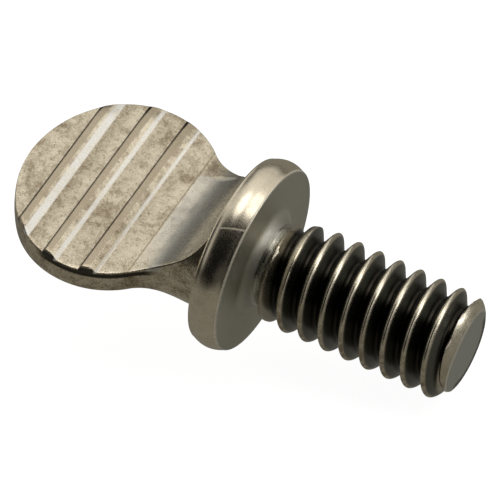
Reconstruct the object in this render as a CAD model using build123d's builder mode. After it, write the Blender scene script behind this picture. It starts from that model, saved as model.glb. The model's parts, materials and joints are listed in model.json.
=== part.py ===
"""Thumb screw with a ribbed oval spade, a thrust collar and a short threaded shank, in millimetres.

It is one piece of steel: a round blank with a collar, pressed flat at one end between two dies and
threaded at the other. Everything is drawn on planes whose X is the axis of the screw, with the bearing
face of the collar at zero and the tip at +X. Those planes are tilted, because the screw lies as it comes
to rest, on the rim of its collar and the end of its thread, with the spade level from side to side.
"""

import os
from math import asin, atan2, cos, degrees, hypot, radians, sin, sqrt, tan

from build123d import *

# Thread: a quarter inch across and 20 turns to the inch, coarse series
pitch = 1.27
major_diameter = 6.2
shank_length = 12.6
tip_chamfer = 0.75
thread_depth_share = 0.6134
crest_share = 0.125
root_share = 0.165

# Relief at the root of the shank, which tapers in from the bearing face and out again to the first crest
relief_length = 0.9
relief_taper = 0.65
relief_lead = 0.45
relief_gap = 0.03
seat_clearance = 0.04

# Collar behind the shank
collar_diameter = 11.1
collar_thickness = 1.82
collar_edge_radius = 0.45
collar_back_break = 0.3

# Round neck between the collar and the spade
neck_diameter = 7.6
neck_fillet = 4

# Spade: an oval seen from above, pressed to this thickness with its middle a little below the axis
spade_width = 12.55
spade_length = 10.92
spade_centre = 9.1
spade_thickness = 1.5
spade_drop = 0.15
side_round_share = 0.915

# Hollow where the face of the spade rises to the collar, with a strip along one side left higher
hollow_start = 5.59
hollow_entry_angle = 7.5
strip_inset = 3.36
strip_angle = 32

# Ribs across the upper face, steep towards the spade's end and sloping towards the collar
rib_count = 3
rib_pitch = 2.28
rib_height = 0.33
rib_wall = 0.1
rib_top = 0.38
rib_slope = 0.42
end_land = 1.77

# How far a cutting shape reaches past what it cuts
overrun = 0.5

# Radii, heights and stations along the axis that the sizes above give
major_radius = major_diameter / 2
thread_depth = thread_depth_share * pitch
crest_width = crest_share * pitch
root_width = root_share * pitch
root_radius = major_radius - thread_depth
tip_radius = major_radius - tip_chamfer
relief_radius = root_radius - relief_gap
seat_radius = major_radius + seat_clearance
thread_end = shank_length - tip_chamfer
collar_radius = collar_diameter / 2
neck_radius = neck_diameter / 2
half_width = spade_width / 2
half_length = spade_length / 2
face_height = spade_thickness / 2 - spade_drop
under_depth = spade_thickness / 2 + spade_drop
spade_end = -spade_centre - half_length
ceiling = half_width + overrun

# Arcs at the spade's sides, and the flatter arc round its end that runs on smoothly into them
spade_side_radius = side_round_share * min(half_length, half_width)
end_radius = (half_length**2 + half_width**2 - 2 * half_width * spade_side_radius) / (
    2 * (half_length - spade_side_radius)
)
side_centre = (-spade_centre, half_width - spade_side_radius)
end_centre = (spade_end + end_radius, 0)
join_angle = degrees(atan2(side_centre[1], side_centre[0] - end_centre[0]))
neck_angle = degrees(asin((neck_radius - side_centre[1]) / spade_side_radius))
neck_start = side_centre[0] + spade_side_radius * cos(radians(neck_angle))

# Resting tilt, tip down: the round of the collar's edge and the last full crest touch the same plane
edge_centre_radius = collar_radius - collar_edge_radius
contact_run = thread_end + collar_edge_radius
contact_drop = edge_centre_radius - major_radius
tilt = atan2(contact_drop, contact_run) + asin(collar_edge_radius / hypot(contact_run, contact_drop))

# Bearing face above the plane, and its offset that centres the whole length over the origin
rest_height = major_radius * cos(tilt) + thread_end * sin(tilt)
tip_reach = shank_length * cos(tilt) + tip_radius * sin(tilt)
lower_edge = sqrt(end_radius**2 - under_depth**2) - end_centre[0]
spade_reach = lower_edge * cos(tilt) + under_depth * sin(tilt)
rest_point = ((spade_reach - tip_reach) / 2, 0, rest_height)

axis_dir = (cos(tilt), 0, -sin(tilt))
top_plane = Plane(rest_point, x_dir=axis_dir, z_dir=(sin(tilt), 0, cos(tilt)))
side_plane = Plane(rest_point, x_dir=axis_dir, z_dir=(0, -1, 0))
screw_axis = Axis(rest_point, axis_dir)

# Round that forms the hollow: it leaves the face at the entry angle and ends upright at the collar's back
hollow_end = -collar_thickness
hollow_run = hollow_end + hollow_start
hollow_radius = hollow_run / (1 - sin(radians(hollow_entry_angle)))
hollow_x = hollow_end - hollow_radius
hollow_lift = hollow_radius * cos(radians(hollow_entry_angle))
strip_height = face_height + hollow_run * tan(radians(strip_angle))

# Groove: it starts in the open relief, turned so that the last full crest lies at the bottom
groove_mouth = pitch - crest_width
groove_start = relief_length - root_width / 2 - relief_gap
groove_run = shank_length + pitch - groove_start
groove_at_bottom = thread_end - crest_width / 2 + pitch / 2
groove_turn = 360 * (groove_start - groove_at_bottom) / pitch
groove_side = (-top_plane.z_dir).rotate(Axis((0, 0, 0), axis_dir), groove_turn)
groove_plane = Plane(
    top_plane.from_local_coords((groove_start, 0, 0)), x_dir=groove_side, z_dir=axis_dir
)
groove_path = groove_plane * Helix(pitch, groove_run, major_radius)


def rib_corners(number):
    """Corners of one rib, from the spade's end towards the collar."""
    foot = spade_end + end_land + number * rib_pitch
    crown = face_height + rib_height
    return [
        (foot, face_height),
        (foot + rib_wall, crown),
        (foot + rib_wall + rib_top, crown),
        (foot + rib_wall + rib_top + rib_slope, face_height),
    ]


# Outline of each die's face, from past the spade's end to where the hollow begins
die_start = spade_end - overrun
ribs = sum((rib_corners(number) for number in range(rib_count)), [])
ribbed_face = [(die_start, face_height), *ribs, (-hollow_start, face_height)]
plain_face = [(die_start, under_depth), (-hollow_start, under_depth)]


def hollow_arc(height):
    """Round of the hollow over a face at this height."""
    centre = (hollow_x, height + hollow_lift)
    return CenterArc(centre, hollow_radius, hollow_entry_angle - 90, 90 - hollow_entry_angle)


def die_block(flank_height, height):
    """Corners that close a die above a face at this height, from the top of its flank."""
    return [
        (hollow_end, flank_height),
        (hollow_end, ceiling),
        (die_start, ceiling),
        (die_start, height),
    ]


with BuildPart() as thumb_screw:
    # Shank: half its outline, turned about the axis
    with BuildSketch(top_plane):
        with BuildLine():
            Polyline(
                (0, 0),
                (0, seat_radius),
                (relief_taper, relief_radius),
                (relief_length, relief_radius),
                (relief_length + relief_lead, major_radius),
                (thread_end, major_radius),
                (shank_length, tip_radius),
                (shank_length, 0),
                close=True,
            )
        make_face()
    revolve(axis=screw_axis)

    # Thread: a V groove carried along the helix, with upright sides above the crests
    with BuildSketch(Plane(groove_path @ 0, x_dir=groove_plane.x_dir, z_dir=groove_path % 0)):
        with BuildLine():
            Polyline(
                (-thread_depth, -root_width / 2),
                (0, -groove_mouth / 2),
                (overrun, -groove_mouth / 2),
                (overrun, groove_mouth / 2),
                (0, groove_mouth / 2),
                (-thread_depth, root_width / 2),
                close=True,
            )
        make_face()
    sweep(path=groove_path, is_frenet=True, mode=Mode.SUBTRACT)

    # Spade, neck and collar: half their outline, drawn upright, so that its seam runs along the top
    with BuildSketch(side_plane) as outline:
        with BuildLine():
            CenterArc(side_centre, spade_side_radius, neck_angle, join_angle - neck_angle)
            CenterArc(end_centre, end_radius, join_angle, 180 - join_angle)
            Polyline(
                (neck_start, neck_radius),
                (-collar_thickness, neck_radius),
                (-collar_thickness, collar_radius),
                (0, collar_radius),
                (0, 0),
                (spade_end, 0),
            )
        make_face()
        fillet(outline.vertices().sort_by_distance((neck_start, neck_radius))[0], neck_fillet)
        fillet(outline.vertices().sort_by_distance((0, collar_radius))[0], collar_edge_radius)
        chamfer(outline.vertices().sort_by_distance((hollow_end, collar_radius))[0], collar_back_break)
    revolve(axis=screw_axis)

    # Upper die as far as the strip, then the strip beside it, then the plain lower die
    with BuildSketch(side_plane.offset(-strip_inset)):
        with BuildLine():
            Polyline(ribbed_face)
            hollow_arc(face_height)
            Polyline(die_block(face_height + hollow_lift, face_height))
        make_face()
    extrude(amount=strip_inset + ceiling, mode=Mode.SUBTRACT)
    with BuildSketch(side_plane.offset(-strip_inset)):
        with BuildLine():
            Polyline([*ribbed_face, *die_block(strip_height, face_height)])
        make_face()
    extrude(amount=strip_inset - ceiling, mode=Mode.SUBTRACT)
    with BuildSketch(side_plane):
        with BuildLine():
            Polyline(plain_face)
            hollow_arc(under_depth)
            Polyline(die_block(under_depth + hollow_lift, under_depth))
        make_face()
        mirror(about=Plane.XZ, mode=Mode.REPLACE)
    extrude(amount=ceiling, both=True, mode=Mode.SUBTRACT)

thumb_screw.part.label = "thumb_screw"
os.makedirs("parts", exist_ok=True)
export_step(thumb_screw.part, "parts/thumb_screw.step")
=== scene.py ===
import json
import math
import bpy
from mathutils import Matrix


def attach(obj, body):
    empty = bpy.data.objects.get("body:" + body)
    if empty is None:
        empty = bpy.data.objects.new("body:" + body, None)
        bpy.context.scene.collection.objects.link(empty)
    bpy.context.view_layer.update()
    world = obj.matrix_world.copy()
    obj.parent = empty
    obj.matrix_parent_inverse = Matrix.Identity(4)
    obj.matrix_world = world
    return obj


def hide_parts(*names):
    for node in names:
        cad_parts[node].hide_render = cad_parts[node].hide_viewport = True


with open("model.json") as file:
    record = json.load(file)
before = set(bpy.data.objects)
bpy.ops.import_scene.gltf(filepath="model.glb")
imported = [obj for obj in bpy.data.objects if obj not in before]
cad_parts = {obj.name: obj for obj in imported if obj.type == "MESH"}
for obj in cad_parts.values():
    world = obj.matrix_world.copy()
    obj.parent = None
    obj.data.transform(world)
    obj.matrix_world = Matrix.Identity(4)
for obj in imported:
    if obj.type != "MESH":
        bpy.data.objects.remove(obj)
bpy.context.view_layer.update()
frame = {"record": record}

from types import SimpleNamespace

import bmesh
import bpy
import numpy as np
from mathutils import Matrix, Vector

millimetre = 0.001
mounts = {mount["name"]: mount for mount in frame["record"]["mounts"]}
seat = mounts["bearing_face"]

# Screw frame in millimetres: x along the axis to the tip, y across the spade, z out of its ribbed face
along = np.array(seat["axis"])
across = np.array([0.0, 1.0, 0.0])
upward = np.cross(along, across)
restPoint = np.array([seat["pos_m"][0], 0.0, seat["pos_m"][2]])


def fromScrew(points):
    points = np.asarray(points)
    return points[..., :1] * along + points[..., 1:2] * across + points[..., 2:3] * upward


def toMetres(points):
    return restPoint + millimetre * fromScrew(points)


# Blank: radius at each station of the spade and the neck, from three arcs and a straight
blank = dict(
    spadeCentre=-9.1,
    halfLength=5.46,
    halfWidth=6.268,
    sideRadius=4.9959,
    neckRadius=3.8,
    neckFillet=4.0,
    collarBack=-1.82,
    roundNeck=0.15,  # length of the neck that the dies don't reach
)
clearHeight = 9.0  # above everything, so that a section stays round


def chord(radius, offset):
    # Height on a circle: the root of its radius squared less the distance from its centre squared
    return np.sqrt(np.maximum(radius**2 - offset**2, 0))


def endRound():
    b = blank
    # Radius of the arc that is tangent to both side arcs and crosses the axis at the spade's end
    span = b["halfLength"] ** 2 + b["halfWidth"] ** 2 - 2 * b["halfWidth"] * b["sideRadius"]
    return span / (2 * (b["halfLength"] - b["sideRadius"]))


def blankRadius(x):
    b = blank
    endRadius = endRound()
    endCentre = b["spadeCentre"] - b["halfLength"] + endRadius
    sideHeight = b["halfWidth"] - b["sideRadius"]
    join = endCentre + endRadius * (b["spadeCentre"] - endCentre) / (endRadius - b["sideRadius"])
    # The fillet's centre lies both radii from the side's centre, and the arcs meet between the two
    filletHeight = b["neckRadius"] + b["neckFillet"]
    reach = chord(b["sideRadius"] + b["neckFillet"], filletHeight - sideHeight)
    filletCentre = b["spadeCentre"] + reach
    leave = b["spadeCentre"] + reach * b["sideRadius"] / (b["sideRadius"] + b["neckFillet"])
    end = chord(endRadius, x - endCentre)
    side = sideHeight + chord(b["sideRadius"], x - b["spadeCentre"])
    fillet = filletHeight - chord(b["neckFillet"], x - filletCentre)
    neck = np.full_like(x, b["neckRadius"])
    return np.select([x < join, x < leave, x < filletCentre], [end, side, fillet], neck)


# Dies: heights of the pressed faces, with each rib's foot and the widths of its wall, top and slope
press = dict(
    faceHeight=0.6,
    underDepth=0.9,
    ribHeight=0.33,
    ribs=[(-12.75, 0.17, 0.38, 0.52), (-10.47, 0.17, 0.36, 0.44), (-8.19, 0.17, 0.40, 0.44)],
    softening=0.03,
    softSteps=7,
    hollowStart=-5.59,
    hollowX=-6.156,
    hollowLift=4.2989,
    hollowRadius=4.336,
    stripEdge=3.36,
    stripSlope=0.24,
    stripCurve=0.085,
    stripPower=3,
    creaseWidth=0.3,
    creaseShare=2.5,
    farShare=0.15,
    edgeRound=0.11,
)


def ribbedHeight(x):
    p = press
    stations = []
    heights = []
    for foot, wall, top, slope in p["ribs"]:
        stations += [foot, foot + wall, foot + wall + top, foot + wall + top + slope]
        heights += [0.0, p["ribHeight"], p["ribHeight"], 0.0]
    # Mean over a short window, so that the corners are rounded
    shifts = np.linspace(-p["softening"], p["softening"], p["softSteps"])
    return p["faceHeight"] + np.interp(x[:, None] + shifts, stations, heights).mean(axis=1)


def hollowHeight(x, height):
    p = press
    # Below the middle of the hollow's circle by its height there, and never under the face
    curve = height + p["hollowLift"] - chord(p["hollowRadius"], x - p["hollowX"])
    return np.where(x > p["hollowStart"], np.maximum(curve, height), height)


# Section loops: a circle cut flat above and below, with its four corners rounded
counts = dict(bend=5, main=40, strip=10, wall=62, under=24)
tiny = 1e-6


def bend(start, corner, end):
    # Point at t on a curve through start and end that leans to the corner: squares of the shares of each
    t = np.linspace(0, 1, counts["bend"])[None, :, None]
    return (1 - t) ** 2 * start[:, None] + 2 * t * (1 - t) * corner[:, None] + t**2 * end[:, None]


def spread(start, end, count, ends=True):
    t = np.linspace(0, 1, count if ends else count + 2)
    t = t if ends else t[1:-1]
    return start[:, None] + (end - start)[:, None] * t


def pair(y, z):
    return np.stack([y, z], axis=-1)


def sectionLoops(x, radius, top, strip, far, bottom):
    n = counts
    edge = press["edgeRound"]
    topHeight = np.minimum(top, radius)
    nearWidth = chord(radius, topHeight)
    lowHeight = np.minimum(bottom, radius)
    lowWidth = chord(radius, lowHeight)
    wallAt = np.minimum(press["stripEdge"], nearWidth)
    farWidth = np.maximum(wallAt, chord(radius, np.minimum(far, radius)))
    farEdge = chord(radius, farWidth)
    hasStrip = farWidth > wallAt + tiny
    plain = ~hasStrip & (farEdge - topHeight < tiny)
    # Each corner's round takes a leg of both its sides, or half of a side that is too short
    nearLeg = np.minimum(edge, nearWidth / 2)
    lowLeg = np.minimum(edge, lowWidth / 2)
    stripLeg = np.minimum(edge, (farWidth - wallAt) / 2)
    farLeg = np.where(hasStrip, stripLeg, np.where(plain, nearLeg, 0))
    wallAt = np.where(plain, farWidth - farLeg, wallAt)
    stripTop = np.minimum(strip, chord(radius, wallAt))
    wallTop = np.where(hasStrip, stripTop, np.where(plain, topHeight, farEdge))
    farTop = np.where(hasStrip, farEdge, wallTop)
    rise = np.maximum(wallTop - topHeight, 0)
    wallFoot = wallAt - np.minimum(press["creaseWidth"], press["creaseShare"] * rise)
    safe = np.maximum(radius, 1e-9)
    farAngle = np.arctan2(farEdge, farWidth) - farLeg / safe
    nearAngle = np.arctan2(topHeight, nearWidth) - nearLeg / safe
    lowAngle = np.arctan2(lowHeight, lowWidth) - lowLeg / safe

    def onCircle(angle):
        return pair(radius * np.cos(angle), radius * np.sin(angle))

    def wall(first, last):
        angle = spread(first, last, n["wall"], ends=False)
        return pair(radius[:, None] * np.cos(angle), radius[:, None] * np.sin(angle))

    def flat(first, last, heightFirst, heightLast, count, ends, power=1):
        zero = np.zeros_like(first)
        share = spread(zero, zero + 1, count, ends) ** power
        height = heightFirst[:, None] + (heightLast - heightFirst)[:, None] * share
        return pair(spread(first, last, count, ends), height)

    nearCorner, farCorner = pair(-nearWidth, topHeight), pair(farWidth, farEdge)
    lowFar, lowNear = pair(lowWidth, -lowHeight), pair(-lowWidth, -lowHeight)
    pieces = [
        bend(onCircle(math.pi - nearAngle), nearCorner, pair(nearLeg - nearWidth, topHeight)),
        flat(nearLeg - nearWidth, wallFoot, topHeight, topHeight, n["main"], False),
        flat(wallFoot, wallAt, topHeight, wallTop, 2, True),
        flat(wallAt, farWidth - farLeg, wallTop, farTop, n["strip"], False, press["stripPower"]),
        bend(pair(farWidth - farLeg, farTop), farCorner, onCircle(farAngle)),
        wall(farAngle, -lowAngle),
        bend(onCircle(-lowAngle), lowFar, pair(lowWidth - lowLeg, -lowHeight)),
        flat(lowWidth - lowLeg, lowLeg - lowWidth, -lowHeight, -lowHeight, n["under"], False),
        bend(pair(lowLeg - lowWidth, -lowHeight), lowNear, onCircle(math.pi + lowAngle)),
        wall(math.pi + lowAngle, math.pi - nearAngle),
    ]
    loops = np.concatenate(pieces, axis=1)
    return np.concatenate([np.broadcast_to(x[:, None, None], (*loops.shape[:2], 1)), loops], axis=2)


# Stations along the spade: more of them round its end, at each rib's corners and in the hollow
steps = dict(end=34, beforeRibs=0.1, face=0.1, cornerReach=0.06, corner=7, hollowEdge=5, hollow=44)


def stationsAlong():
    s = steps
    endRadius = endRound()
    start = blank["spadeCentre"] - blank["halfLength"]
    first = press["ribs"][0][0] - s["beforeRibs"]
    # Even steps of angle round the spade's end, where the radius grows like a circle
    lastAngle = math.acos(1 - (first - start) / endRadius)
    tip = start + endRadius * (1 - np.cos(np.linspace(0, lastAngle, s["end"])))
    fine = [np.arange(first, press["hollowStart"] + s["face"], s["face"])]
    for foot, wall, top, slope in press["ribs"]:
        for corner in (foot, foot + wall, foot + wall + top, foot + wall + top + slope):
            fine.append(corner + np.linspace(-s["cornerReach"], s["cornerReach"], s["corner"]))
    fine.append(press["hollowStart"] + np.linspace(-s["cornerReach"], s["cornerReach"], s["hollowEdge"]))
    hollow = np.linspace(press["hollowStart"], blank["collarBack"], s["hollow"])
    x = np.unique(np.round(np.concatenate([tip, *fine, hollow]), 4))
    return x[(x >= start) & (x <= blank["collarBack"])]


def makeSpade():
    p = press
    x = stationsAlong()
    run = np.maximum(x - p["hollowStart"], 0)
    atCollar = x >= blank["collarBack"] - blank["roundNeck"]
    top = np.where(run > 0, hollowHeight(x, p["faceHeight"]), ribbedHeight(x))
    top = np.where(atCollar, clearHeight, top)
    under = np.where(atCollar, clearHeight, hollowHeight(x, p["underDepth"]))
    # The strip climbs by a share of its run and of its run squared
    strip = np.maximum(top, p["faceHeight"] + p["stripSlope"] * run + p["stripCurve"] * run**2)
    # The ribs fall away to a share of their height at the far rim
    far = np.where(run > 0, strip, p["faceHeight"] + p["farShare"] * (top - p["faceHeight"]))
    return sectionLoops(x, blankRadius(x), top, strip, far, under)


spadeLoops = makeSpade()
print("spade loops", spadeLoops.shape)

# Collar and the root of the shank: radius at each station, turned about the axis
collar = dict(
    radius=5.55,
    round=0.16,
    crown=0.2,
    neckRound=0.12,
    neckGap=0.3,
    seatRadius=3.14,
    seatGap=0.05,
    reliefStart=0.65,
    reliefRadius=2.29,
    reliefPower=0.6,
    roundSteps=9,
    faceSteps=8,
    rimSteps=12,
    frontSteps=12,
    taperSteps=14,
)


def collarProfile():
    c = collar
    back = blank["collarBack"]
    neck = blank["neckRadius"]
    rim = c["radius"] - c["crown"]
    # Each round is a quarter circle, and the rim swells to its full radius half way
    quarter = np.linspace(0, math.pi / 2, c["roundSteps"])
    inner = neck + c["neckRound"] * (1 - np.sin(quarter)), back - c["neckRound"] * (1 - np.cos(quarter))
    face = np.linspace(neck + c["neckGap"], rim - c["round"], c["faceSteps"])
    backRound = rim - c["round"] * (1 - np.sin(quarter)), back + c["round"] * (1 - np.cos(quarter))
    width = np.linspace(back + c["round"], -c["round"], c["rimSteps"])[1:-1]
    share = (2 * width - back) / (-back - 2 * c["round"])
    swell = rim + c["crown"] * (1 - share**2)
    frontRound = rim - c["round"] * (1 - np.cos(quarter)), -c["round"] * (1 - np.sin(quarter))
    front = np.linspace(rim - c["round"], c["seatRadius"] + c["seatGap"], c["frontSteps"])[1:]
    # The taper under the seat falls by a power of its run, like a hollow round
    t = np.linspace(0, 1, c["taperSteps"])
    fall = (c["reliefRadius"] - c["seatRadius"]) * t ** c["reliefPower"]
    taper = c["seatRadius"] + fall, c["reliefStart"] * t
    r = [inner[0][::-1], face, backRound[0][1:], swell, frontRound[0], front, taper[0]]
    s = [
        inner[1][::-1],
        np.full_like(face, back),
        backRound[1][1:],
        width,
        frontRound[1],
        np.zeros_like(front),
        taper[1],
    ]
    return np.concatenate(s), np.concatenate(r)


def roundLoops(x, radius):
    high = np.full_like(x, clearHeight)
    return sectionLoops(x, radius, high, high, high, high)


collarLoops = roundLoops(*collarProfile())
print("collar loops", collarLoops.shape)

# Thread: rows that climb along the helix, so that each keeps its place in the groove's form
thread = dict(
    pitch=1.27,
    majorRadius=3.1,
    rootRadius=2.321,
    rootHalf=0.105,
    mouthHalf=0.556,
    grooveAtBottom=12.4056,
    turns=(-12, 3),
    rootPlaces=[-0.1, 0.0, 0.1],  # rows in each groove, from its middle
    flankPlaces=[0.17, 0.28, 0.39, 0.48, 0.54, 0.58, 0.61, 0.635],
    spare=0.2,
    softening=0.085,
    softSteps=9,
    end=12.6,
    slant=0.04,
    slantSide=(-0.604, 0.797),
    slantReach=1.873,
)
# Height limits along the shank: shallow first turns beside the relief, and the rounded tip before the end
firstTurns = dict(x=[0.65, 0.9, 1.25, 1.45, 1.9, 2.6], radius=[2.29, 2.29, 2.93, 2.95, 2.88, 3.1])
tipRound = dict(
    x=[-0.85, -0.7, -0.55, -0.4, -0.25, -0.1, 0.0],
    tight=[3.1, 3.1, 3.04, 2.93, 2.78, 2.58, 2.35],
    wide=[3.1, 2.68, 2.56, 2.38, 2.16, 1.88, 1.66],
    bevelPower=1.5,
    rings=[1, 0.96, 0.8, 0.55, 0.3, 0.0],
)
turnShare = np.linspace(0, 1, 2 * (counts["wall"] + 1) + 1)
turnAngle = 2 * math.pi * turnShare - math.pi / 2


def leanAt(angle):
    return np.cos(angle) * thread["slantSide"][0] + np.sin(angle) * thread["slantSide"][1]


def tipBlend(angle, tight, wide):
    # Tight on the side away from the slant's, and wide by a power of the lean towards it
    bevel = np.maximum(leanAt(angle), 0) ** tipRound["bevelPower"]
    return (1 - bevel) * tight + bevel * wide


def endAt(angle, radius):
    t = thread
    # The end face is a plane that leans: it falls back with the distance from the slant's side
    return t["end"] + t["slant"] * (radius * leanAt(angle) - t["slantReach"])


def grooveRadius(gap):
    t = thread
    return np.interp(np.abs(gap), [t["rootHalf"], t["mouthHalf"]], [t["rootRadius"], t["majorRadius"]])


def threadRows(endRadius):
    t = thread
    flank = np.array(t["flankPlaces"])
    places = np.unique(np.round(np.concatenate([t["rootPlaces"], flank, t["pitch"] - flank]), 5))
    turns = np.arange(*t["turns"])[:, None]
    rows = (t["grooveAtBottom"] + turns * t["pitch"] + places).ravel()
    low = collar["reliefStart"]
    rows = np.sort(rows[(rows > low - t["pitch"] - t["spare"]) & (rows < t["end"] + t["spare"])])
    # Distance from the middle of the nearest groove sets the depth: flat root, straight flank, flat crest
    gap = np.abs((rows - t["grooveAtBottom"] + t["pitch"] / 2) % t["pitch"] - t["pitch"] / 2)
    shifts = np.linspace(-t["softening"], t["softening"], t["softSteps"])
    nearest = grooveRadius(gap[:, None] + shifts)
    following = grooveRadius(t["pitch"] - gap[:, None] - shifts)
    depth = np.minimum(nearest, following).mean(axis=1)
    # Each row climbs by one pitch in a turn, between the relief and the end face
    last = endAt(turnAngle, endRadius)
    x = np.clip(rows[:, None] + t["pitch"] * turnShare, low, last)
    radius = np.minimum(depth[:, None], np.interp(x, firstTurns["x"], firstTurns["radius"]))
    tight = np.interp(x - last, tipRound["x"], tipRound["tight"])
    wide = np.interp(x - last, tipRound["x"], tipRound["wide"])
    radius = np.minimum(radius, tipBlend(turnAngle, tight, wide))
    radius = np.where(x <= low, collar["reliefRadius"], np.where(x >= last, endRadius, radius))
    return np.stack([x, radius * np.cos(turnAngle), radius * np.sin(turnAngle)], axis=-1)


def tipRings(endRadius):
    # Rings on the end face that shrink from its edge to its middle
    radius = endRadius * np.array(tipRound["rings"])[:, None]
    x = endAt(turnAngle, radius)
    return np.stack([x, radius * np.cos(turnAngle), radius * np.sin(turnAngle)], axis=-1)


tipEdge = tipBlend(turnAngle, tipRound["tight"][-1], tipRound["wide"][-1])
threadGrid = threadRows(tipEdge)
tipGrid = tipRings(tipEdge)
print("thread rows", threadGrid.shape)

# One mesh: each grid of loops gives its quads, and what meets is welded
weld = dict(distance=2e-7, speck=1e-8, sharpAngle=48)


def gridFaces(shape, start, closed):
    rows, columns = shape[:2]
    last = columns if closed else columns - 1
    row, column = np.meshgrid(np.arange(rows - 1), np.arange(last), indexing="ij")
    nextColumn = (column + 1) % columns
    corners = [row * columns + column, row * columns + nextColumn]
    corners += [corner + columns for corner in corners[::-1]]
    return start + np.stack(corners, axis=-1).reshape(-1, 4)


def keepPlaces(mesh):
    # Place of each point in the screw frame, for the finish
    flat = np.empty(len(mesh.vertices) * 3)
    mesh.vertices.foreach_get("co", flat)
    offset = (flat.reshape(-1, 3) - restPoint) / millimetre
    place = np.stack([offset @ along, offset @ across, offset @ upward], axis=-1)
    mesh.attributes.new("place", "FLOAT_VECTOR", "POINT").data.foreach_set("vector", place.ravel())


def makeScrew():
    body = np.concatenate([spadeLoops, collarLoops])
    grids = [(body, True), (threadGrid, False), (tipGrid, False)]
    points = np.concatenate([grid.reshape(-1, 3) for grid, closed in grids])
    faces = []
    start = 0
    for grid, closed in grids:
        faces.append(gridFaces(grid.shape, start, closed))
        start += grid.shape[0] * grid.shape[1]
    mesh = bpy.data.meshes.new("thumbScrew")
    mesh.from_pydata(toMetres(points).tolist(), [], np.concatenate(faces).tolist())
    work = bmesh.new()
    work.from_mesh(mesh)
    bmesh.ops.remove_doubles(work, verts=work.verts, dist=weld["distance"])
    bmesh.ops.dissolve_degenerate(work, edges=work.edges, dist=weld["speck"])
    bmesh.ops.recalc_face_normals(work, faces=work.faces)
    openEdges = sum(1 for edge in work.edges if not edge.is_manifold)
    volume = work.calc_volume(signed=True)
    if volume < 0:
        bmesh.ops.reverse_faces(work, faces=work.faces)
    work.to_mesh(mesh)
    work.free()
    mesh.polygons.foreach_set("use_smooth", np.ones(len(mesh.polygons), dtype=bool))
    mesh.set_sharp_from_angle(angle=math.radians(weld["sharpAngle"]))
    keepPlaces(mesh)
    cubicMillimetres = volume / millimetre**3
    print("screw", len(mesh.polygons), "faces, open edges", openEdges, "mm3", cubicMillimetres)
    screw = bpy.data.objects.new("thumbScrew", mesh)
    bpy.context.scene.collection.objects.link(screw)
    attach(screw, "root")
    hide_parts("thumb_screw")
    return screw


screw = makeScrew()


class Wire:
    # A socket in a shader tree that can be added, taken away and multiplied
    def __init__(self, tree, socket=None):
        self.tree = tree
        self.socket = socket

    def node(self, kind, settings, sockets, out=0):
        made = self.tree.nodes.new(kind)
        for key, value in settings.items():
            setattr(made, key, value)
        for key, value in sockets.items():
            if isinstance(value, Wire):
                self.tree.links.new(value.socket, made.inputs[key])
            else:
                made.inputs[key].default_value = value
        return Wire(self.tree, made.outputs[out] if len(made.outputs) else None)

    def maths(self, how, first, second):
        return self.node("ShaderNodeMath", {"operation": how}, {0: first, 1: second})

    def __add__(self, other):
        return self.maths("ADD", self, other)

    def __radd__(self, other):
        return self.maths("ADD", other, self)

    def __sub__(self, other):
        return self.maths("SUBTRACT", self, other)

    def __rsub__(self, other):
        return self.maths("SUBTRACT", other, self)

    def __mul__(self, other):
        return self.maths("MULTIPLY", self, other)

    def __rmul__(self, other):
        return self.maths("MULTIPLY", other, self)


def larger(first, second):
    return first.maths("MAXIMUM", first, second)


def root(value):
    return value.node("ShaderNodeMath", {"operation": "SQRT"}, {0: value})


def step(value, low, high):
    settings = {"interpolation_type": "SMOOTHSTEP"}
    return value.node("ShaderNodeMapRange", settings, {"Value": value, "From Min": low, "From Max": high})


def band(value, low, high, soft):
    return step(value, low - soft, low + soft) * (1 - step(value, high - soft, high + soft))


def atLeast(least, mask):
    return least + (1 - least) * mask


def mixed(factor, first, second):
    settings = {"data_type": "RGBA"}
    return factor.node("ShaderNodeMix", settings, {"Factor": factor, 6: first, 7: second}, 2)


def noise(place, scale, detail, roughness):
    sockets = {"Vector": place, "Scale": scale, "Detail": detail, "Roughness": roughness}
    return place.node("ShaderNodeTexNoise", {}, sockets)


def newMaterial(name):
    material = bpy.data.materials.new(name)
    material.use_nodes = True
    material.node_tree.nodes.clear()
    return material, Wire(material.node_tree)


# Colours of the plated steel by place, with painted shade, highlight and reflection among them
tones = dict(
    cream=(0.91, 0.81, 0.615, 1),
    # brown: the mottle's own colour, and also painted shade beyond the rib slopes, at the hollow's start
    # line and low on the shank
    brown=(0.26, 0.19, 0.11, 1),
    # painted shade: the dark line at each rib's foot
    paintedLine=(0.045, 0.033, 0.022, 1),
    # painted highlight: on the rib slopes, where the hollow begins, and as a line at the tip's end face
    slope=(0.97, 0.94, 0.87, 1),
    brow=(0.52, 0.43, 0.3, 1),
    # painted grey reflection in the hollow and on the strip
    hollow=(0.6, 0.6, 0.55, 1),
    # painted shade and dark reflection: under the spade's near edge, on the rib ends, in the thread roots
    # and at the tip
    paintedDark=(0.03, 0.026, 0.02, 1),
    collar=(0.94, 0.84, 0.66, 1),
    seat=(0.6, 0.58, 0.49, 1),
    # painted shade in the relief under the head
    relief=(0.5, 0.48, 0.42, 1),
    thread=(0.5, 0.45, 0.36, 1),
    # worn crests, partly a painted highlight
    crest=(0.97, 0.88, 0.7, 1),
    # painted shade in the thread's valleys
    valleyShade=(0.15, 0.15, 0.128, 1),
    tip=(0.6, 0.6, 0.54, 1),
)

# Wear of the plating: scale per millimetre, detail and roughness of each noise, and where each mask rises
wear = dict(
    wide=(0.5, 3.0, 0.55),
    blotch=(1.9, 4.0, 0.65),
    grain=(11.0, 4.0, 0.75),
    fleck=(6.5, 3.0, 0.75),
    mottleShares=(0.4, 0.4, 0.45),
    mottleRise=(0.53, 0.8),
    fleckRise=(0.55, 0.66),
    fleckShare=0.85,
    speckRise=(0.42, 0.6),
    wornRise=(0.38, 0.56),
    # brown stain in blotches, with painted shade that grows towards the bottom of the shank
    stainRise=(0.42, 0.56),
    stainTop=(-0.6, 2.6),
    stainLeast=0.35,
)


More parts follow.
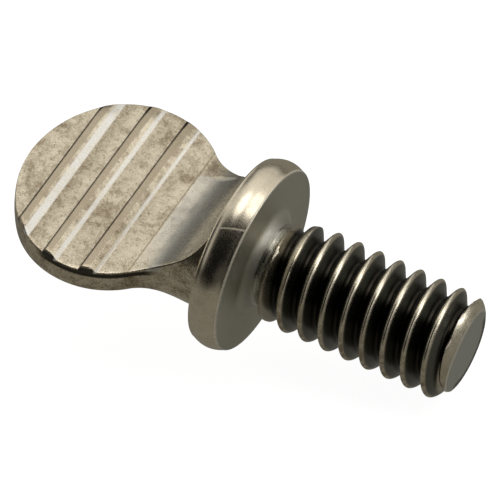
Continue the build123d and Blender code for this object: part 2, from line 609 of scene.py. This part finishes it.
def readPlace(wire):
    w = wear
    place = wire.node("ShaderNodeAttribute", {"attribute_name": "place"}, {}, 1)
    at = SimpleNamespace()
    at.x, at.y, at.z = (wire.node("ShaderNodeSeparateXYZ", {}, {0: place}, axis) for axis in "XYZ")
    at.radius = root(at.y * at.y + at.z * at.z)
    at.blotch = noise(place, *w["blotch"])
    at.grain = noise(place, *w["grain"])
    wideShare, blotchShare, grainShare = w["mottleShares"]
    mottle = wideShare * noise(place, *w["wide"]) + blotchShare * at.blotch + grainShare * at.grain
    at.mottle = step(mottle, *w["mottleRise"])
    at.fleck = step(noise(place, *w["fleck"]), *w["fleckRise"])
    at.speck = step(at.grain, *w["speckRise"])
    at.worn = step(0.5 * at.grain + 0.5 * at.blotch, *w["wornRise"])
    # Brown stain in blotches on the lower half of the shank, with painted shade that darkens it towards the
    # bottom
    at.stain = (1 - step(at.z, *w["stainTop"])) * atLeast(w["stainLeast"], step(at.blotch, *w["stainRise"]))
    at.upper = step(at.z, *spadeFinish["upper"])
    at.near = 1 - step(at.y, *wallFinish["near"])
    return at


# Ribbed face: painted shade as a dark line at each rib's foot, brownish brow, painted highlight on the pale
# slope, and painted shade beyond the slope
spadeFinish = dict(
    upper=(0.5, 0.58),
    faceEnd=(-5.7, -5.6),
    highlightShares=(0.72, 0.48, 0.34),
    shadeShares=(0.75, 0.25, 0.2),
    shadeReach=(0.1, 1.0),
    shadeLeast=0.35,
    browShare=0.8,
    highlightLeast=0.5,
    soft=0.05,
    highlightSoft=0.06,
    lineSoft=0.02,
)


def ribTones(at, colour):
    f = spadeFinish
    face = at.upper * (1 - step(at.x, *f["faceEnd"]))
    for (foot, wall, top, slope), pale, shade in zip(press["ribs"], f["highlightShares"], f["shadeShares"]):
        brow = foot + wall
        end = brow + top + slope
        fade = step(at.x, end + f["shadeReach"][0], end + f["shadeReach"][1])
        beyond = step(at.x, end - f["soft"], end + f["soft"]) * (1 - fade)
        onBrow = band(at.x, brow, brow + top, f["soft"])
        onSlopeHighlight = band(at.x, end - slope * pale, end, f["highlightSoft"])
        onFootShade = band(at.x, foot - f["lineSoft"], brow, f["lineSoft"])
        # painted shade beyond the slope
        colour = mixed(shade * face * beyond * atLeast(f["shadeLeast"], at.speck), colour, tones["brown"])
        colour = mixed(f["browShare"] * face * onBrow, colour, tones["brow"])
        # painted highlight on the rib slope, broken up by the wear
        colour = mixed(face * onSlopeHighlight * atLeast(f["highlightLeast"], at.worn), colour, tones["slope"])
        # painted shade: a dark line at the rib's foot
        colour = mixed(face * onFootShade, colour, tones["paintedLine"])
    return colour


# Hollow: a painted highlight band and a painted shade line where it begins, then a painted grey reflection
# up to the collar, on the strip too
hollowFinish = dict(
    strip=(3.1, 3.3),
    neck=(3.5, 3.9),
    neckFrom=(-4.6, -4.0),
    highlightBand=(-5.7, -4.9, 0.12),
    highlightBandSide=(-5.0, -1.0),
    bandHighlightShare=0.45,
    paintedLine=(-5.81, -5.74, 0.03),
    lineShare=0.7,
    greyReflection=(-4.9, -1.9, 0.35),
    greyReflectionShare=0.75,
    stripReflection=(-4.3, -1.9, 0.4),
    stripShare=0.7,
)


def hollowTones(at, colour):
    f = hollowFinish
    onStrip = step(at.y, *f["strip"])
    onNeck = step(at.radius, *f["neck"]) * step(at.x, *f["neckFrom"])
    pressed = at.upper * (1 - onStrip) * (1 - onNeck)
    # painted highlight band where the hollow begins
    highlightBand = f["bandHighlightShare"] * pressed * band(at.x, *f["highlightBand"]) * step(at.y, *f["highlightBandSide"])
    colour = mixed(highlightBand, colour, tones["slope"])
    # painted shade line in the crease where the hollow begins
    colour = mixed(f["lineShare"] * at.upper * band(at.x, *f["paintedLine"]), colour, tones["brown"])
    # painted grey reflection in the hollow, and on the strip below
    colour = mixed(f["greyReflectionShare"] * pressed * band(at.x, *f["greyReflection"]), colour, tones["hollow"])
    onStripReflection = at.upper * onStrip * band(at.x, *f["stripReflection"])
    return mixed(f["stripShare"] * onStripReflection, colour, tones["hollow"])


# Near wall of the spade: painted shade, black, under its edge and on the ends of the ribs
wallFinish = dict(
    near=(-2.4, -1.8),
    shadeUnderEdge=(0.24, 0.55, 0.07),
    reach=(-10.6, -4.6, 0.5),
    skin=(-0.09, -0.05),
    ribEndShade=(0.5, 0.85, 0.04),
    ribSlopeShare=0.6,
    ribSoft=0.05,
    paintedDarkShare=0.95,
)


def wallTones(at, colour):
    f = wallFinish
    # painted shade under the near edge, and on the rib ends below
    paintedDark = band(at.z, *f["shadeUnderEdge"]) * at.near * band(at.x, *f["reach"])
    # The wall is where the distance from the axis reaches the side arc
    offset = at.x - blank["spadeCentre"]
    arc = root(blank["sideRadius"] ** 2 - offset * offset)
    sideHeight = blank["halfWidth"] - blank["sideRadius"]
    skin = step(at.radius - arc, sideHeight + f["skin"][0], sideHeight + f["skin"][1])
    for foot, wall, top, slope in press["ribs"][1:]:
        ribStop = foot + wall + top + f["ribSlopeShare"] * slope
        ribEndShade = band(at.x, foot, ribStop, f["ribSoft"]) * band(at.z, *f["ribEndShade"])
        paintedDark = larger(paintedDark, ribEndShade * skin * at.near)
    return mixed(f["paintedDarkShare"] * paintedDark, colour, tones["paintedDark"])


# Collar, greyer than the spade, with a fine scratch across its rim and a worn front edge
collarFinish = dict(
    start=(-2.0, -1.75),
    share=0.75,
    seat=(-0.06, 0.25, 0.04),
    relief=(0.2, 1.2, 0.12),
    nickWay=(-0.34, 0.887, 0.4617),
    nickWidth=(0.22, 0.32, 0.03),
    nickReach=(-1.6, -0.1, 0.05),
    nickRadius=(5.2, 5.3),
    nickTop=(3.0, 3.2),
    edge=(-0.13, -0.03, 0.02),
    edgeRadius=(5.15, 5.2),
    edgeShare=0.7,
)


def collarTones(at, colour):
    f = collarFinish
    colour = mixed(f["share"] * step(at.x, *f["start"]), colour, tones["collar"])
    colour = mixed(band(at.x, *f["seat"]), colour, tones["seat"])
    # painted shade in the relief under the head
    return mixed(band(at.x, *f["relief"]), colour, tones["relief"])


def bareMetal(at):
    f = collarFinish
    nickPlace = f["nickWay"][1] * at.y + f["nickWay"][2] * at.z + f["nickWay"][0] * at.x
    nick = band(nickPlace, *f["nickWidth"]) * band(at.x, *f["nickReach"])
    nick = nick * step(at.radius, *f["nickRadius"]) * step(at.z, *f["nickTop"])
    frontEdge = band(at.x, *f["edge"]) * step(at.radius, *f["edgeRadius"])
    return larger(nick, f["edgeShare"] * frontEdge)


# Thread: worn crests that are partly a painted highlight, brown stain with painted shade low down, and
# painted shade in the valleys, black at the roots
threadFinish = dict(
    start=(1.0, 1.4),
    crest=(2.92, 3.02),
    crestLeast=0.45,
    stainShare=0.8,
    valleyShade=(2.88, 3.02),
    valleyShadeFrom=(1.5, 2.1),
    root=(2.36, 2.6),
)


def threadTones(at, colour):
    f = threadFinish
    onThread = step(at.x, *f["start"])
    crests = onThread * step(at.radius, *f["crest"])
    shadedValleys = (1 - step(at.radius, *f["valleyShade"])) * step(at.x, *f["valleyShadeFrom"])
    colour = mixed(onThread, colour, tones["thread"])
    # worn crests, partly a painted highlight
    colour = mixed(crests * atLeast(f["crestLeast"], at.speck), colour, tones["crest"])
    # brown stain with painted shade, darker towards the bottom
    colour = mixed(f["stainShare"] * crests * at.stain, colour, tones["brown"])
    # painted shade in the valleys
    colour = mixed(onThread * shadedValleys, colour, tones["valleyShade"])
    # painted shade, black, in the roots
    return mixed(onThread * (1 - step(at.radius, *f["root"])), colour, tones["paintedDark"])


# Tip: worn bright round that is partly a painted highlight, a painted highlight line at the end face,
# painted dark reflection on the side that it leans to and in a ring at its far edge, and the grey face
tipFinish = dict(
    worn=(-0.62, -0.45),
    wornLeast=0.7,
    stainShare=0.6,
    paintedLine=(-0.08, -0.02, 0.01),
    lineSide=(-1.2, -0.2),
    dark=(-0.25, -0.12),
    darkSide=(-1.9, -1.2),
    face=(-0.012, -0.004),
    darkReflectionRing=(-0.02, -0.01),
    ringRadius=(1.9, 2.05),
    ringSide=(-1.1, -0.5),
    ringShare=0.9,
)


def tipTones(at, colour):
    f = tipFinish
    toward = at.y * thread["slantSide"][0] + at.z * thread["slantSide"][1]
    past = at.x - thread["end"] - thread["slant"] * (toward - thread["slantReach"])
    onRound = step(past, *f["worn"])
    # worn bright round, partly a painted highlight
    colour = mixed(onRound * atLeast(f["wornLeast"], at.worn), colour, tones["crest"])
    # brown stain with painted shade, darker towards the bottom
    colour = mixed(f["stainShare"] * onRound * at.stain, colour, tones["brown"])
    # painted highlight line at the end face's edge
    colour = mixed(band(past, *f["paintedLine"]) * step(toward, *f["lineSide"]), colour, tones["slope"])
    # painted dark reflection on the side that it leans to
    colour = mixed(step(past, *f["dark"]) * (1 - step(toward, *f["darkSide"])), colour, tones["paintedDark"])
    colour = mixed(step(past, *f["face"]), colour, tones["tip"])
    # painted dark reflection ring at the far edge of the end face
    darkReflectionRing = step(past, *f["darkReflectionRing"]) * step(at.radius, *f["ringRadius"]) * (1 - step(toward, *f["ringSide"]))
    return mixed(f["ringShare"] * darkReflectionRing, colour, tones["paintedDark"])


# Gloss: bare scratches and the pressed face are dull, and the bearing face is rougher than the rest
gloss = dict(
    bareShare=0.75,
    dullFace=0.35,
    dullDrop=0.23,
    dullDropAt=(-5.8, -4.6),
    dullEnd=(-2.2, -1.9),
    smooth=0.16,
    grainShare=0.14,
    mottleShare=0.1,
    seatShare=0.22,
    seat=(-0.02, 0.5, 0.02),
    bumpStrength=0.6,
    bumpDistance=5e-6,
    bumpGrain=0.6,
    bumpBlotch=0.4,
)


def makeSteel():
    g = gloss
    material, wire = newMaterial("steel")
    at = readPlace(wire)
    colour = mixed(larger(at.mottle, wear["fleckShare"] * at.fleck), tones["cream"], tones["brown"])
    for addTones in (ribTones, hollowTones, wallTones, collarTones, threadTones, tipTones):
        colour = addTones(at, colour)
    dull = at.upper * (g["dullFace"] - g["dullDrop"] * step(at.x, *g["dullDropAt"]))
    dull = dull * (1 - step(at.x, *g["dullEnd"]))
    roughness = g["smooth"] + g["grainShare"] * at.grain + g["mottleShare"] * at.mottle
    roughness = roughness + g["seatShare"] * band(at.x, *g["seat"])
    bump = {"Strength": g["bumpStrength"], "Distance": g["bumpDistance"]}
    bump["Height"] = g["bumpGrain"] * at.grain + g["bumpBlotch"] * at.blotch
    sockets = {
        "Base Color": colour,
        "Metallic": 1 - larger(g["bareShare"] * bareMetal(at), dull),
        "Roughness": roughness,
        "Normal": wire.node("ShaderNodeBump", {}, bump),
    }
    shader = wire.node("ShaderNodeBsdfPrincipled", {}, sockets)
    wire.node("ShaderNodeOutputMaterial", {}, {"Surface": shader})
    return material


screw.data.materials.append(makeSteel())
print("steel finish")

# Floor that the camera sees as white with a faint shadow, and that the metal reflects as dark
floor = dict(
    size=2.0,
    pale=(0.9, 0.9, 0.9, 1),
    shadowShare=0.35,
    white=1.47,
    reflected=(0.19, 0.185, 0.165, 1),
)


def makeFloor():
    half = floor["size"] / 2
    corners = [(-half, -half, 0), (half, -half, 0), (half, half, 0), (-half, half, 0)]
    mesh = bpy.data.meshes.new("floor")
    mesh.from_pydata(corners, [], [(0, 1, 2, 3)])
    plane = bpy.data.objects.new("floor", mesh)
    bpy.context.scene.collection.objects.link(plane)
    material, wire = newMaterial("paleFloor")
    pale = wire.node("ShaderNodeBsdfDiffuse", {}, {"Color": floor["pale"]})
    white = wire.node("ShaderNodeEmission", {}, {"Color": (1, 1, 1, 1), "Strength": floor["white"]})
    dim = wire.node("ShaderNodeEmission", {}, {"Color": floor["reflected"]})
    camera = wire.node("ShaderNodeLightPath", {}, {}, "Is Camera Ray")
    glossy = wire.node("ShaderNodeLightPath", {}, {}, "Is Glossy Ray")
    shown = wire.node("ShaderNodeMixShader", {}, {0: floor["shadowShare"], 1: white, 2: pale})
    seen = wire.node("ShaderNodeMixShader", {}, {0: glossy, 1: pale, 2: dim})
    surface = wire.node("ShaderNodeMixShader", {}, {0: camera, 1: seen, 2: shown})
    wire.node("ShaderNodeOutputMaterial", {}, {"Surface": surface})
    mesh.materials.append(material)


makeFloor()
print("floor")

# World: white to the camera; the metal sees a tent that is pale behind and at the sides, and dim in front
tent = dict(
    dark=0.004,
    pale=0.6,
    tint=(1.0, 0.985, 0.95, 1),
    back=(-0.12, 0.14),
    left=(0.78, 0.93),
    right=(0.62, 0.82),
    rise=(0.02, 0.26),
    gapLeft=(0.56, 0.66),
    gapBack=(0.3, 0.42),
    gapTop=(0.3, 0.44),
    gapShare=0.8,
    front=(0.6, 0.9),
    frontRight=(-0.1, 0.2),
    frontTop=(0.3, 0.42),
    frontLevel=0.06,
)


def makeWorld():
    t = tent
    world = bpy.data.worlds.new("studio")
    bpy.context.scene.world = world
    world.use_nodes = True
    world.node_tree.nodes.clear()
    wire = Wire(world.node_tree)
    way = wire.node("ShaderNodeTexCoord", {}, {}, "Generated")
    zenith = (0, 0, 1)

    def share(vector, limits):
        sockets = {0: way, 1: tuple(vector)}
        reach = way.node("ShaderNodeVectorMath", {"operation": "DOT_PRODUCT"}, sockets, "Value")
        return step(reach, *limits)

    rise = share(zenith, t["rise"])
    sides = larger(share(-along, t["left"]), share(along, t["right"]))
    # A dark gap low down at the back left, and a dim fill low down in front
    gap = share(-along, t["gapLeft"]) * share(across, t["gapBack"]) * (1 - share(upward, t["gapTop"]))
    lit = larger(share(across, t["back"]), sides) * rise * (1 - t["gapShare"] * gap)
    front = share(-across, t["front"]) * share(along, t["frontRight"])
    front = front * rise * (1 - share(zenith, t["frontTop"]))
    level = t["dark"] + t["pale"] * lit + t["frontLevel"] * front
    camera = wire.node("ShaderNodeLightPath", {}, {}, "Is Camera Ray")
    colour = mixed(camera, t["tint"], (1, 1, 1, 1))
    strength = level + camera * (1 - level)
    background = wire.node("ShaderNodeBackground", {}, {"Color": colour, "Strength": strength})
    wire.node("ShaderNodeOutputWorld", {}, {"Surface": background})


makeWorld()
print("world")

# Camera at the photo's angle, far enough away that the view is nearly parallel
view = dict(
    right=(0.87483, 0.48306, 0.03653),
    back=(0.28412, -0.57269, 0.76896),
    aim=(-0.7462, 0.5961),
    distance=900.0,
    lensShare=1.32232,
    sensor=36.0,
    clip=(0.01, 10.0),
)


def makeCamera():
    back = fromScrew(view["back"])
    back = back / np.linalg.norm(back)
    right = fromScrew(view["right"])
    right = right - back * (right @ back)
    right = right / np.linalg.norm(right)
    up = np.cross(back, right)
    aim = restPoint + millimetre * (view["aim"][0] * right + view["aim"][1] * up)
    at = aim + millimetre * view["distance"] * back
    data = bpy.data.cameras.new("camera")
    data.sensor_width = view["sensor"]
    data.lens = view["lensShare"] * view["distance"]
    data.clip_start, data.clip_end = view["clip"]
    camera = bpy.data.objects.new("camera", data)
    rows = [[*row, place] for row, place in zip(np.stack([right, up, back], 1), at)]
    camera.matrix_world = Matrix([*rows, [0, 0, 0, 1]])
    bpy.context.scene.collection.objects.link(camera)
    bpy.context.scene.camera = camera


makeCamera()
print("camera")

# Lamps: direction from the screw in its own frame, size and power, all at one distance
lampDistance = 0.35
lamps = [
    dict(name="overhead", toward=(-0.29, 0.58, 0.76), size=0.3, power=0.028),
    dict(name="above", toward=(0.3, 0.33, 0.9), size=0.2, power=0.1),
    dict(name="crest", toward=(-0.28, 0.22, 0.93), size=0.2, power=0.12),
    dict(name="tipEdge", toward=(0.85, 0.36, 0.34), size=0.14, power=0.11),
    dict(name="tipSide", toward=(0.66, 0.58, 0.47), size=0.24, power=0.055),
]


def makeLamps():
    for lamp in lamps:
        direction = Vector(fromScrew(lamp["toward"])).normalized()
        data = bpy.data.lights.new(lamp["name"], "AREA")
        data.shape = "DISK"
        data.size = lamp["size"]
        data.energy = lamp["power"]
        made = bpy.data.objects.new(lamp["name"], data)
        made.location = direction * lampDistance
        made.rotation_mode = "QUATERNION"
        made.rotation_quaternion = direction.to_track_quat("Z", "Y")
        bpy.context.scene.collection.objects.link(made)


makeLamps()
print("lamps", len(lamps))
bpy.context.scene.view_settings.view_transform = "Standard"
